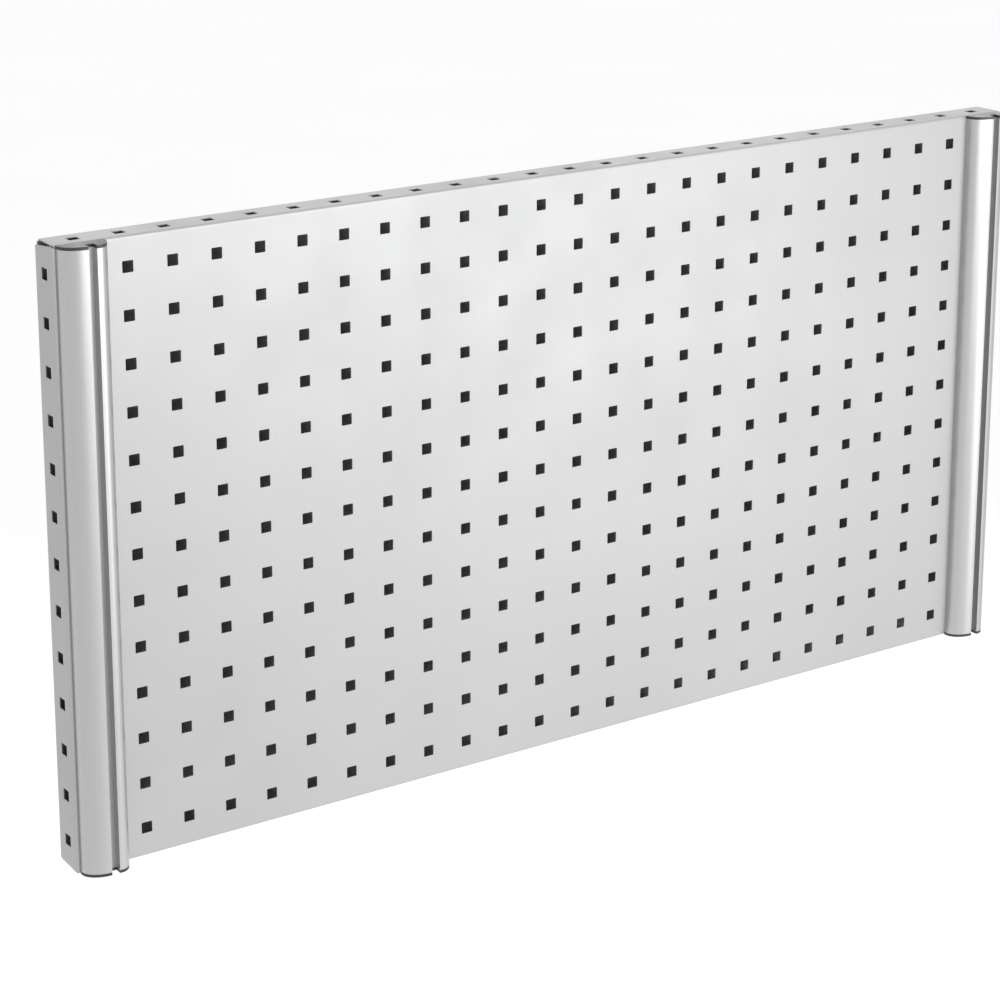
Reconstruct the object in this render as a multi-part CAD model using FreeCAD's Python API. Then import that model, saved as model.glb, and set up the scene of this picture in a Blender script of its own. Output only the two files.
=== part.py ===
"""Pegboard tool wall: a perforated steel tray with two aluminium rails on its front.

Units are millimetres. The origin is the centre of the rear face. +X runs to the right as seen
from the front, +Y points out of the back, and +Z is up. The front faces -Y.
"""

import FreeCAD, Part
import math
import os

Vector = FreeCAD.Vector

# Peg-hole grid
PITCH = 38.0
COLUMNS = 25
ROWS = 13
PEG_HOLE = 9.2

# Folded panel
SHEET = 1.0
EDGE_MARGIN = 24.0
WIDTH = (COLUMNS - 1) * PITCH + 2 * EDGE_MARGIN
HEIGHT = (ROWS - 1) * PITCH + 2 * EDGE_MARGIN
DEPTH = 28.0
BEND_RADIUS = 2.2
FLANGE_HOLE_DEPTH = PITCH - EDGE_MARGIN
CORNER_NOTCH = 1.2
TOP_FLANGE_TAPER = 1.6
SIDE_FLANGE_TAPER = 3.0

# Rails: section sizes are across the rail and out from the panel's face
RAIL_CENTRE = 457.0
RAIL_WIDTH = 40.0
RAIL_HEIGHT = 16.5
RAIL_WALL = 2.0
RAIL_FOOT = 2.5
GROOVE_LEFT = -0.7
GROOVE_WIDTH = 6.8
GROOVE_DEPTH = 7.0
LOBE_LAND = 2.0
T_SLOT_MOUTH = 8.4
T_SLOT_WIDTH = 13.2
T_SLOT_LIP = 2.2
T_SLOT_ROOF = 7.2
T_SLOT_SIDE = 1.6
CAP_THICKNESS = 2.5
CAP_PEG_LENGTH = 12.0
CAP_PEG_GAP = 0.3
RAIL_LENGTH = HEIGHT - 2 * CAP_THICKNESS

# Channels behind the hidden columns
CHANNEL_SHEET = 1.5
CHANNEL_INNER = 432.0
CHANNEL_OUTER = 472.0
CHANNEL_BEND = 2.5
INNER_LIP = 12.0
OUTER_LIP = 7.5
CHANNEL_LENGTH = HEIGHT - 4.0

# Rear cover
COVER_SHEET = 1.5
COVER_GAP = 0.4
COVER_ACCESS_RADIUS = 5.0

# Rail fastenings, M6
RAIL_BOLT_ROWS = (0, 3, 6, 9, 12)
BOLT_RADIUS = 3.0
BOLT_HEAD_LENGTH = 12.4
BOLT_HEAD_WIDTH = 8.0
BOLT_HEAD_THICKNESS = 4.0
BOLT_HOLE_RADIUS = 3.5
BOLT_CHAMFER = 0.6
THREAD_GAP = 0.05
WASHER_RADIUS = 6.0
WASHER_BORE = 3.2
WASHER_THICKNESS = 1.6
NUT_FLATS = 10.0
NUT_THICKNESS = 5.0
THREAD_SHOWING = 2.0

# Wall or bench mounting, M8
MOUNT_CENTRE = 454.0
MOUNT_ROWS = (1, 11)
MOUNT_BORE = 3.4
PLATE_LENGTH = 50.0
PLATE_THICKNESS = 3.0
PLATE_SIDE_GAP = 0.3
PLATE_CORNER = 2.0
MOUNT_NUT_FLATS = 13.0
MOUNT_NUT_THICKNESS = 6.5

# Rear cover fastenings, M3
COVER_SCREW_CENTRE = 438.5
COVER_SCREW_HEIGHTS = (-225.0, -112.5, 0.0, 112.5, 225.0)
SCREW_RADIUS = 1.5
SCREW_HEAD_RADIUS = 3.0
SCREW_LENGTH = 8.0
SCREW_RECESS_RADIUS = 1.2
SCREW_RECESS_DEPTH = 1.0
COVER_NUT_RADIUS = 3.1
COVER_NUT_SPIGOT = 2.1
COVER_NUT_THICKNESS = 2.4
COVER_NUT_BORE = 1.6

# Planes worked out from the sizes above
FRONT = -DEPTH
PANEL_INSIDE = FRONT + SHEET
WEB_INSIDE = PANEL_INSIDE + CHANNEL_SHEET
LIP_REAR = -COVER_SHEET
LIP_FRONT = LIP_REAR - CHANNEL_SHEET
PLATE_FRONT = LIP_FRONT - PLATE_THICKNESS
HALF_WIDTH = WIDTH / 2
HALF_HEIGHT = HEIGHT / 2
LOBE_LEFT = GROOVE_LEFT + GROOVE_WIDTH
GROOVE_FLOOR = RAIL_HEIGHT - GROOVE_DEPTH
SEAT_DEPTH = SCREW_HEAD_RADIUS - SCREW_RADIUS


def column_x(index):
    """X of a peg-hole column, counted from the left."""
    return -HALF_WIDTH + EDGE_MARGIN + index * PITCH


def row_z(index):
    """Z of a peg-hole row, counted from the top."""
    return HALF_HEIGHT - EDGE_MARGIN - index * PITCH


def block(low, high):
    """Box between two corners."""
    size = [b - a for a, b in zip(low, high)]
    return Part.makeBox(*size, Vector(*low))


def rod(radius, start, end):
    """Round bar between two points."""
    axis = Vector(*end) - Vector(*start)
    return Part.makeCylinder(radius, axis.Length, Vector(*start), axis)


def polygon_prism(points, direction):
    """Closed polygon swept along a vector."""
    corners = [Vector(*point) for point in points]
    return Part.Face(Part.makePolygon(corners + corners[:1])).extrude(Vector(*direction))


def hexagon_prism(flats, centre, thickness):
    """Hexagon bar along +Y, flats up and down."""
    reach = flats / math.sqrt(3.0)
    corners = []
    for step in range(6):
        angle = math.radians(60 * step)
        x = centre[0] + reach * math.cos(angle)
        z = centre[2] + reach * math.sin(angle)
        corners.append((x, centre[1], z))
    return polygon_prism(corners, (0, thickness, 0))


def hole_prisms(places, axis, low, high):
    """Square bars through a sheet at each place, from low to high along the axis."""
    half = PEG_HOLE / 2
    bars = []
    for first, second in places:
        if axis == "Y":
            bars.append(block((first - half, low, second - half), (first + half, high, second + half)))
        elif axis == "Z":
            bars.append(block((first - half, second - half, low), (first + half, second + half, high)))
        else:
            bars.append(block((low, first - half, second - half), (high, first + half, second + half)))
    return bars


def bend(start, end, towards_face, towards_flange):
    """Quarter-round fold along an edge of the face.

    start and end lie on the bend's axis, and the two directions point at its face and its flange.
    """
    face = Vector(*towards_face)
    flange = Vector(*towards_flange)
    middle = (face + flange).normalize()
    base = Vector(*start)
    inner = BEND_RADIUS - SHEET
    edges = []
    for radius in (BEND_RADIUS, inner):
        arc = Part.Arc(base + face * radius, base + middle * radius, base + flange * radius)
        edges.append(arc.toShape())
    for direction in (face, flange):
        edges.append(Part.LineSegment(base + direction * BEND_RADIUS, base + direction * inner).toShape())
    section = Part.Face(Part.Wire(Part.__sortEdges__(edges)))
    return section.extrude(Vector(*end) - base)


def front_rectangle(x, z, half_width, half_height):
    """Rectangle drawn on the panel's front face about a centre."""
    corners = []
    for across, up in ((-1, -1), (1, -1), (1, 1), (-1, 1), (-1, -1)):
        corners.append(Vector(x + across * half_width, FRONT, z + up * half_height))
    return Part.makePolygon(corners)


def front_sheet():
    """Flat front of the panel with its grid of peg holes."""
    x = HALF_WIDTH - BEND_RADIUS
    z = HALF_HEIGHT - BEND_RADIUS
    places = [(column_x(c), row_z(r)) for c in range(COLUMNS) for r in range(ROWS)]
    wires = [front_rectangle(0, 0, x, z)]
    for hole_x, hole_z in places:
        wires.append(front_rectangle(hole_x, hole_z, PEG_HOLE / 2, PEG_HOLE / 2))
    return Part.Face(wires, "Part::FaceMakerBullseye").extrude(Vector(0, SHEET, 0))


def long_flange(side):
    """Top (side +1) or bottom (side -1) flange with one row of peg holes."""
    outside = side * HALF_HEIGHT
    inside = side * (HALF_HEIGHT - SHEET)
    front_x = HALF_WIDTH - CORNER_NOTCH
    rear_x = front_x - TOP_FLANGE_TAPER
    start = FRONT + BEND_RADIUS
    corners = []
    for x, y in ((-front_x, start), (front_x, start), (rear_x, 0), (-rear_x, 0)):
        corners.append((x, y, inside))
    plate = polygon_prism(corners, (0, 0, outside - inside))
    places = [(column_x(c), FRONT + FLANGE_HOLE_DEPTH) for c in range(COLUMNS)]
    low, high = sorted((inside - side, outside + side))
    return plate.cut(Part.makeCompound(hole_prisms(places, "Z", low, high)))


def side_flange(side):
    """Left (side -1) or right (side +1) flange with one column of peg holes."""
    outside = side * HALF_WIDTH
    inside = side * (HALF_WIDTH - SHEET)
    front_z = HALF_HEIGHT - CORNER_NOTCH
    rear_z = front_z - SIDE_FLANGE_TAPER
    start = FRONT + BEND_RADIUS
    corners = []
    for y, z in ((start, -front_z), (start, front_z), (0, rear_z), (0, -rear_z)):
        corners.append((inside, y, z))
    plate = polygon_prism(corners, (outside - inside, 0, 0))
    places = [(FRONT + FLANGE_HOLE_DEPTH, row_z(r)) for r in range(ROWS)]
    low, high = sorted((inside - side, outside + side))
    return plate.cut(Part.makeCompound(hole_prisms(places, "X", low, high)))


def perforated_panel():
    """Front sheet, four folds and four flanges as one folded sheet."""
    axis_y = FRONT + BEND_RADIUS
    axis_x = HALF_WIDTH - BEND_RADIUS
    axis_z = HALF_HEIGHT - BEND_RADIUS
    shape = front_sheet()
    pieces = []
    for side in (-1, 1):
        x = side * axis_x
        z = side * axis_z
        pieces.append(bend((-axis_x, axis_y, z), (axis_x, axis_y, z), (0, -1, 0), (0, 0, side)))
        pieces.append(bend((x, axis_y, -axis_z), (x, axis_y, axis_z), (0, -1, 0), (side, 0, 0)))
        pieces.append(long_flange(side))
        pieces.append(side_flange(side))
    return shape.multiFuse(pieces).removeSplitter()


def rail_point(across, out):
    """Point of the rail's section, with the rail's centre at X 0."""
    return Vector(across, FRONT - out, 0)


def quarter_ellipse(centre, half_width, half_height, side):
    """Arc from the section's side up to its top, on the left (side -1) or right (side +1)."""
    diagonal = math.sqrt(0.5)
    across, out = centre
    points = [
        rail_point(across + side * half_width, out),
        rail_point(across + side * half_width * diagonal, out + half_height * diagonal),
        rail_point(across, out + half_height),
    ]
    if half_width >= half_height:
        ellipse = Part.Ellipse(points[0], points[2], rail_point(across, out))
    else:
        ellipse = Part.Ellipse(points[2], points[0], rail_point(across, out))
    low, high = sorted((ellipse.parameter(points[0]), ellipse.parameter(points[2])))
    arc = Part.ArcOfEllipse(ellipse, low, high)
    if arc.toShape().distToShape(Part.Vertex(points[1]))[0] > 0.01:
        arc = Part.ArcOfEllipse(ellipse, high, low + 2 * math.pi)
    return arc.toShape()


def lines(points):
    """Straight edges through section points."""
    return [
        Part.LineSegment(rail_point(*a), rail_point(*b)).toShape()
        for a, b in zip(points, points[1:])
    ]


def section_face(edges):
    """Flat face inside a loop of section edges."""
    return Part.Face(Part.Wire(Part.__sortEdges__(edges)))


def rail_outline():
    """Outer shape of the rail with its front groove and a plain flat base."""
    left = -RAIL_WIDTH / 2
    right = RAIL_WIDTH / 2
    lobe_top = LOBE_LEFT + LOBE_LAND
    edges = lines([(right, 0), (left, 0), (left, RAIL_FOOT)])
    edges.append(quarter_ellipse((GROOVE_LEFT, RAIL_FOOT), GROOVE_LEFT - left, RAIL_HEIGHT - RAIL_FOOT, -1))
    edges += lines([
        (GROOVE_LEFT, RAIL_HEIGHT),
        (GROOVE_LEFT, GROOVE_FLOOR),
        (LOBE_LEFT, GROOVE_FLOOR),
        (LOBE_LEFT, RAIL_HEIGHT),
        (lobe_top, RAIL_HEIGHT),
    ])
    edges.append(quarter_ellipse((lobe_top, 0), right - lobe_top, RAIL_HEIGHT, 1))
    return section_face(edges)


def dome_chamber(gap=0.0):
    """Hollow under the domed side, drawn in by a gap on every side."""
    wall = RAIL_WALL + gap
    left = -RAIL_WIDTH / 2 + wall
    step = -T_SLOT_WIDTH / 2 - T_SLOT_SIDE - gap
    right = GROOVE_LEFT - wall
    shelf = T_SLOT_ROOF + T_SLOT_SIDE + gap
    edges = lines([(right, RAIL_HEIGHT - wall), (right, shelf), (step, shelf), (step, wall), (left, wall)])
    if RAIL_FOOT > wall:
        edges += lines([(left, wall), (left, RAIL_FOOT)])
    spring = max(RAIL_FOOT, wall)
    edges.append(quarter_ellipse((right, spring), right - left, RAIL_HEIGHT - wall - spring, -1))
    return section_face(edges)


def lobe_chamber(gap=0.0):
    """Hollow under the quarter-round lobe, drawn in by a gap on every side."""
    wall = RAIL_WALL + gap
    left = T_SLOT_WIDTH / 2 + T_SLOT_SIDE + gap
    right = RAIL_WIDTH / 2 - wall
    edges = lines([(left, RAIL_HEIGHT - wall), (left, wall), (right, wall)])
    edges.append(quarter_ellipse((left, wall), right - left, RAIL_HEIGHT - 2 * wall, 1))
    return section_face(edges)


def t_slot():
    """Slot in the rail's back that holds the bolt heads."""
    mouth = T_SLOT_MOUTH / 2
    half = T_SLOT_WIDTH / 2
    points = [(-mouth, 0), (mouth, 0), (mouth, T_SLOT_LIP), (half, T_SLOT_LIP), (half, T_SLOT_ROOF)]
    points += [(-half, T_SLOT_ROOF), (-half, T_SLOT_LIP), (-mouth, T_SLOT_LIP), (-mouth, 0)]
    return section_face(lines(points))


def rail(side):
    """Extruded rail, the same hand on both sides of the panel."""
    section = rail_outline().cut(Part.makeCompound([dome_chamber(), lobe_chamber(), t_slot()]))
    shape = section.extrude(Vector(0, 0, RAIL_LENGTH))
    shape.translate(Vector(side * RAIL_CENTRE, 0, -RAIL_LENGTH / 2))
    return shape


def end_cap(side, end):
    """Cap over a rail's end (end +1 at the top), with a push-in peg in each chamber."""
    plate = rail_outline().extrude(Vector(0, 0, CAP_THICKNESS))
    pegs = []
    for section in (dome_chamber(CAP_PEG_GAP), lobe_chamber(CAP_PEG_GAP)):
        pegs.append(section.extrude(Vector(0, 0, -CAP_PEG_LENGTH)))
    shape = plate.multiFuse(pegs)
    if end < 0:
        shape = shape.mirror(Vector(0, 0, 0), Vector(0, 0, 1))
    shape.translate(Vector(side * RAIL_CENTRE, 0, end * RAIL_LENGTH / 2))
    return shape


def fillet_along(shape, corners, radius):
    """Rounds the upright edges that stand at the given X, Y corners."""
    edges = []
    for edge in shape.Edges:
        spot = edge.CenterOfMass
        upright = edge.BoundBox.ZLength > 0.9 * shape.BoundBox.ZLength
        if upright and any(abs(spot.x - x) + abs(spot.y - y) < 0.01 for x, y in corners):
            edges.append(edge)
    return shape.makeFillet(radius, edges)


def channel(side):
    """Folded channel behind a hidden column, open at the rear between two lips."""
    inner_wall = CHANNEL_INNER + CHANNEL_SHEET
    outer_wall = CHANNEL_OUTER - CHANNEL_SHEET
    outline = [
        (CHANNEL_INNER, PANEL_INSIDE),
        (CHANNEL_OUTER, PANEL_INSIDE),
        (CHANNEL_OUTER, LIP_REAR),
        (CHANNEL_OUTER - OUTER_LIP, LIP_REAR),
        (CHANNEL_OUTER - OUTER_LIP, LIP_FRONT),
        (outer_wall, LIP_FRONT),
        (outer_wall, WEB_INSIDE),
        (inner_wall, WEB_INSIDE),
        (inner_wall, LIP_FRONT),
        (CHANNEL_INNER + INNER_LIP, LIP_FRONT),
        (CHANNEL_INNER + INNER_LIP, LIP_REAR),
        (CHANNEL_INNER, LIP_REAR),
    ]
    low = -CHANNEL_LENGTH / 2
    shape = polygon_prism([(side * x, y, low) for x, y in outline], (0, 0, CHANNEL_LENGTH))
    outside = [(side * x, y) for x in (CHANNEL_INNER, CHANNEL_OUTER) for y in (PANEL_INSIDE, LIP_REAR)]
    inside = [(side * x, y) for x in (inner_wall, outer_wall) for y in (WEB_INSIDE, LIP_FRONT)]
    shape = fillet_along(shape, outside, CHANNEL_BEND)
    shape = fillet_along(shape, inside, CHANNEL_BEND - CHANNEL_SHEET)
    holes = []
    for x, z in rail_bolt_places(side):
        holes.append(rod(BOLT_HOLE_RADIUS, (x, PANEL_INSIDE - 1, z), (x, WEB_INSIDE + 1, z)))
    for z in COVER_SCREW_HEIGHTS:
        x = side * COVER_SCREW_CENTRE
        holes.append(rod(COVER_NUT_SPIGOT, (x, LIP_FRONT - 1, z), (x, LIP_REAR + 1, z)))
    return shape.cut(Part.makeCompound(holes))


def mount_places():
    """Centres of the four mounting bolts, with a name for each."""
    places = {}
    for side, across in ((-1, "left"), (1, "right")):
        for row, level in zip(MOUNT_ROWS, ("upper", "lower")):
            places[level + "_" + across] = (side * MOUNT_CENTRE, row_z(row))
    return places


def mounting_plate(place):
    """Thick plate across a channel's mouth, inside the lips, that a mounting bolt goes through."""
    x, z = place
    side = math.copysign(1, x)
    reach = CHANNEL_SHEET + PLATE_SIDE_GAP
    low, high = sorted((side * (CHANNEL_INNER + reach), side * (CHANNEL_OUTER - reach)))
    half = PLATE_LENGTH / 2
    plate = block((low, PLATE_FRONT, z - half), (high, LIP_FRONT, z + half))
    corners = [edge for edge in plate.Edges if abs(edge.Vertexes[0].Y - edge.Vertexes[1].Y) > 1]
    plate = plate.makeFillet(PLATE_CORNER, corners)
    return plate.cut(rod(MOUNT_BORE, (x, PLATE_FRONT - 1, z), (x, LIP_FRONT + 1, z)))


def mounting_nuts():
    """Weld nuts in front of the mounting plates, on the mounting bolts' axes."""
    nuts = []
    start = PLATE_FRONT - MOUNT_NUT_THICKNESS
    for x, z in mount_places().values():
        nut = hexagon_prism(MOUNT_NUT_FLATS, (x, start, z), MOUNT_NUT_THICKNESS)
        nuts.append(nut.cut(rod(MOUNT_BORE, (x, start - 1, z), (x, PLATE_FRONT + 1, z))))
    return Part.makeCompound(nuts)


def cover_screw_places():
    """Centres of the rear cover's screws."""
    return [(side * COVER_SCREW_CENTRE, z) for side in (-1, 1) for z in COVER_SCREW_HEIGHTS]


def rear_cover():
    """Flat sheet that closes the back, with countersunk screw holes and four bolt openings."""
    x = HALF_WIDTH - SHEET - COVER_GAP
    z = HALF_HEIGHT - SHEET - COVER_GAP
    sheet = block((-x, LIP_REAR, -z), (x, 0, z))
    holes = []
    for px, pz in mount_places().values():
        holes.append(rod(COVER_ACCESS_RADIUS, (px, LIP_REAR - 1, pz), (px, 1, pz)))
    for px, pz in cover_screw_places():
        start = Vector(px, LIP_REAR, pz)
        holes.append(Part.makeCone(SCREW_RADIUS, SCREW_HEAD_RADIUS, COVER_SHEET, start, Vector(0, 1, 0)))
    return sheet.cut(Part.makeCompound(holes))


def cover_screws():
    """Countersunk screws, heads flush with the rear cover, each with a hexagon recess."""
    screws = []
    for x, z in cover_screw_places():
        seat = Vector(x, -SEAT_DEPTH, z)
        head = Part.makeCone(SCREW_RADIUS, SCREW_HEAD_RADIUS, SEAT_DEPTH, seat, Vector(0, 1, 0))
        shank = rod(SCREW_RADIUS, (x, -SCREW_LENGTH, z), (x, -SEAT_DEPTH, z))
        recess = hexagon_prism(2 * SCREW_RECESS_RADIUS, (x, -SCREW_RECESS_DEPTH, z), SCREW_RECESS_DEPTH + 1)
        screws.append(head.fuse(shank).removeSplitter().cut(recess))
    return Part.makeCompound(screws)


def cover_nuts():
    """Clinch nuts pressed into the channels' inner lips from inside."""
    nuts = []
    for x, z in cover_screw_places():
        body = rod(COVER_NUT_RADIUS, (x, LIP_FRONT - COVER_NUT_THICKNESS, z), (x, LIP_FRONT, z))
        spigot = rod(COVER_NUT_SPIGOT, (x, LIP_FRONT, z), (x, LIP_REAR, z))
        bore = rod(COVER_NUT_BORE, (x, LIP_FRONT - COVER_NUT_THICKNESS - 1, z), (x, LIP_REAR + 1, z))
        nuts.append(body.fuse(spigot).cut(bore))
    return Part.makeCompound(nuts)


def rail_bolt_places(side):
    """X, Z centres of the bolts behind one rail."""
    return [(side * RAIL_CENTRE, row_z(row)) for row in RAIL_BOLT_ROWS]


def rail_bolts(side):
    """T-head bolts, heads held in the rail's slot, shanks through the panel and the channel."""
    bolts = []
    seat = FRONT - T_SLOT_LIP
    end = WEB_INSIDE + WASHER_THICKNESS + NUT_THICKNESS + THREAD_SHOWING
    half_length = BOLT_HEAD_LENGTH / 2
    half_width = BOLT_HEAD_WIDTH / 2
    front = seat - BOLT_HEAD_THICKNESS
    for x, z in rail_bolt_places(side):
        head = block((x - half_length, front, z - half_width), (x + half_length, seat, z + half_width))
        shank = rod(BOLT_RADIUS, (x, seat, z), (x, end, z))
        tip = [edge for edge in shank.Edges if abs(edge.CenterOfMass.y - end) < 0.01]
        bolts.append(head.fuse(shank.makeChamfer(BOLT_CHAMFER, tip)))
    return Part.makeCompound(bolts)


def rail_washers(side):
    """Plain washers on the inside of a channel's web."""
    washers = []
    rear = WEB_INSIDE + WASHER_THICKNESS
    for x, z in rail_bolt_places(side):
        disc = rod(WASHER_RADIUS, (x, WEB_INSIDE, z), (x, rear, z))
        washers.append(disc.cut(rod(WASHER_BORE, (x, WEB_INSIDE - 1, z), (x, rear + 1, z))))
    return Part.makeCompound(washers)


def rail_nuts(side):
    """Hexagon nuts on the rail bolts."""
    nuts = []
    start = WEB_INSIDE + WASHER_THICKNESS
    for x, z in rail_bolt_places(side):
        nut = hexagon_prism(NUT_FLATS, (x, start, z), NUT_THICKNESS)
        bore = rod(BOLT_RADIUS + THREAD_GAP, (x, start - 1, z), (x, start + NUT_THICKNESS + 1, z))
        nuts.append(nut.cut(bore))
    return Part.makeCompound(nuts)


def all_nodes():
    """Every piece of the tool wall by node name."""
    nodes = {
        "perforated_panel": perforated_panel(),
        "rear_cover": rear_cover(),
        "mounting_nuts": mounting_nuts(),
        "cover_screws": cover_screws(),
        "cover_nuts": cover_nuts(),
    }
    for side, name in ((-1, "left"), (1, "right")):
        nodes[name + "_rail"] = rail(side)
        nodes[name + "_top_cap"] = end_cap(side, 1)
        nodes[name + "_bottom_cap"] = end_cap(side, -1)
        nodes[name + "_channel"] = channel(side)
        nodes[name + "_rail_bolts"] = rail_bolts(side)
        nodes[name + "_rail_washers"] = rail_washers(side)
        nodes[name + "_rail_nuts"] = rail_nuts(side)
    for name, place in mount_places().items():
        nodes[name + "_mounting_plate"] = mounting_plate(place)
    return nodes


os.makedirs("parts", exist_ok=True)
for node, shape in all_nodes().items():
    shape.exportStep("parts/" + node + ".step")
    print(node, len(shape.Solids), round(shape.Volume / 1000, 2), "cm3", "valid", shape.isValid())
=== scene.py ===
"""Looks of a perforated tool wall with two aluminium rails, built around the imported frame.

Everything is in metres, in the frame's own axes: X to the right seen from the front, Y out of the
back, Z up. The front faces -Y.
"""

import logging
import math
from dataclasses import dataclass, field
from enum import Enum
from typing import Callable, Iterable, Sequence

import bmesh
import bpy
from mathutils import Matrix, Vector
from mathutils.geometry import tessellate_polygon


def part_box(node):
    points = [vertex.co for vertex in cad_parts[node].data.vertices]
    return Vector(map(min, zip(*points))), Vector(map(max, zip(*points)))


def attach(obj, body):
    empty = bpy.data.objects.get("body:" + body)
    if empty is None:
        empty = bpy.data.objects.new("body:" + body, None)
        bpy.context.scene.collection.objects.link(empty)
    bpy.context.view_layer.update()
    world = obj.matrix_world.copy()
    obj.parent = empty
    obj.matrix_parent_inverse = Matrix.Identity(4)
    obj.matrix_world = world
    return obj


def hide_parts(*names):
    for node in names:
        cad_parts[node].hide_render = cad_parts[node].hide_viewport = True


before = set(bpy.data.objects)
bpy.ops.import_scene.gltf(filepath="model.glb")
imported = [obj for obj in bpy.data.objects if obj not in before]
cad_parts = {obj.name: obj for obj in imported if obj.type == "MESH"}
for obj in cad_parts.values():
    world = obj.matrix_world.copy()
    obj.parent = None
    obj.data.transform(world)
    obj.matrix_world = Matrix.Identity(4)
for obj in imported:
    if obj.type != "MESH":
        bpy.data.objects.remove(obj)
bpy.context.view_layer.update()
LOG = logging.getLogger("tool_wall")

Point = tuple[float, float, float]
Flat = tuple[float, float]
Loop = list[Point]
MM = 0.001
GRAIN = 2e-6
HOLE_POINTS = 32
CURVE_STEPS = 28
SHARP = math.radians(50)


class Slot(Enum):
    """Material slots of the record."""

    STEEL = "painted_steel"
    ALUMINIUM = "anodised_aluminium"
    PLASTIC = "cap_plastic"
    ZINC = "zinc_plated_steel"


class Side(Enum):
    """Left or right half of the wall, seen from the front."""

    LEFT = -1
    RIGHT = 1

    @property
    def word(self) -> str:
        """Name of the side as the nodes spell it."""
        return self.name.lower()


# Mesh building


class Sketch:
    """Gathers the faces of one piece by their corners' places, and welds corners nearer than GRAIN."""

    def __init__(self) -> None:
        """Starts an empty piece."""
        self.corners: list[Point] = []
        self.lookup: dict[tuple[int, ...], int] = {}
        self.faces: list[list[int]] = []

    def corner(self, place: Sequence[float]) -> int:
        """Index of the corner at a place, made if it is new.

        Args:
            place: Position in metres.

        Returns:
            The corner's index.
        """
        key = tuple(round(value / GRAIN) for value in place)
        if key not in self.lookup:
            self.lookup[key] = len(self.corners)
            self.corners.append((place[0], place[1], place[2]))
        return self.lookup[key]

    def face(self, places: Iterable[Sequence[float]]) -> None:
        """Adds a face, leaving out corners that coincide.

        Args:
            places: The face's corners in order.
        """
        loop: list[int] = []
        for place in places:
            index = self.corner(place)
            if not loop or loop[-1] != index:
                loop.append(index)
        if len(loop) > 1 and loop[0] == loop[-1]:
            loop.pop()
        if len(set(loop)) == len(loop) and len(loop) > 2:
            self.faces.append(loop)

    def strip(self, first: Sequence[Point], second: Sequence[Point]) -> None:
        """Joins two loops of corners with quads.

        Args:
            first: One loop.
            second: The other loop, with as many corners.
        """
        for index in range(len(first)):
            after = (index + 1) % len(first)
            self.face((first[index], first[after], second[after], second[index]))

    def cover(self, loops: Sequence[Sequence[Point]], flip: bool = False) -> None:
        """Fills a flat outline that may have holes.

        Args:
            loops: The outline first, then its holes.
            flip: Whether to turn the faces over.
        """
        places = [place for loop in loops for place in loop]
        for triangle in tessellate_polygon([[Vector(place) for place in loop] for loop in loops]):
            order = reversed(triangle) if flip else triangle
            self.face([places[index] for index in order])

    def strips(self, loops: Sequence[Sequence[Point]]) -> None:
        """Joins each loop of a pile to the next."""
        for first, second in zip(loops, loops[1:]):
            self.strip(first, second)

    def bored_stack(self, outer: Sequence[Sequence[Point]], inner: Sequence[Sequence[Point]]) -> None:
        """Closed solid between an outer and an inner pile of loops.

        Args:
            outer: Loops of the outside, front to rear.
            inner: Loops of the bore, front to rear.
        """
        self.strips(outer)
        self.strips(inner)
        self.cover([outer[0], inner[0]])
        self.cover([outer[-1], inner[-1]])

    def mesh(self, name: str) -> bpy.types.Mesh:
        """Turns the sketch into a mesh with outward normals.

        Args:
            name: The mesh's name.

        Returns:
            The new mesh.
        """
        data = bpy.data.meshes.new(name)
        data.from_pydata(self.corners, [], self.faces)
        work = bmesh.new()
        work.from_mesh(data)
        bmesh.ops.recalc_face_normals(work, faces=work.faces)
        work.to_mesh(data)
        work.free()
        data.validate()
        return data


def make_piece(
    sketch: Sketch,
    name: str,
    finish: bpy.types.Material,
    node: str,
    edge: float = 0.0,
    steps: int = 2,
    thickness: float = 0.0,
) -> None:
    """Makes an object of a sketch, thickens it, rounds its edges, and fixes it to the wall.

    Args:
        sketch: The piece's faces.
        name: The object's name.
        finish: Its material.
        node: The frame's node that it stands for.
        edge: Radius of the rounded edges, or 0 for none.
        steps: Segments across each rounded edge.
        thickness: Sheet thickness to add behind the faces, or 0 for a closed piece.
    """
    piece = bpy.data.objects.new(name, sketch.mesh(name))
    bpy.context.scene.collection.objects.link(piece)
    piece.data.materials.append(finish)
    if thickness:
        wall = piece.modifiers.new("Thickness", "SOLIDIFY")
        wall.thickness = thickness
        wall.offset = -1.0
        wall.use_even_offset = True
    if edge:
        round_over = piece.modifiers.new("Edge", "BEVEL")
        round_over.width = edge
        round_over.segments = steps
        round_over.limit_method = "ANGLE"
        round_over.angle_limit = SHARP
        round_over.use_clamp_overlap = True
    for polygon in piece.data.polygons:
        polygon.use_smooth = True
    weigh = piece.modifiers.new("Normals", "WEIGHTED_NORMAL")
    weigh.keep_sharp = True
    weigh.weight = 100
    graph = bpy.context.evaluated_depsgraph_get()
    made = bpy.data.meshes.new_from_object(piece.evaluated_get(graph), depsgraph=graph)
    piece.modifiers.clear()
    piece.data = made
    made.name = name
    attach(piece, "root")
    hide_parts(node)
    LOG.info("%s: %d faces", name, len(made.polygons))


def circle(radius: float, count: int) -> list[Flat]:
    """Points round a circle, anticlockwise."""
    angles = [math.tau * step / count for step in range(count)]
    return [(radius * math.cos(angle), radius * math.sin(angle)) for angle in angles]


def hexagon(flats: float, count: int, limit: float = math.inf) -> list[Flat]:
    """Points round a hexagon, held inside a circle.

    Args:
        flats: Distance across its flats.
        count: How many points, a multiple of 6.
        limit: Radius of the circle that rounds off its corners.

    Returns:
        The points, anticlockwise.
    """
    points = []
    for x, y in circle(1.0, count):
        off_flat = math.atan2(y, x) % (math.pi / 3) - math.pi / 6
        radius = min(flats / 2 / math.cos(off_flat), limit)
        points.append((x * radius, y * radius))
    return points


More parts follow.
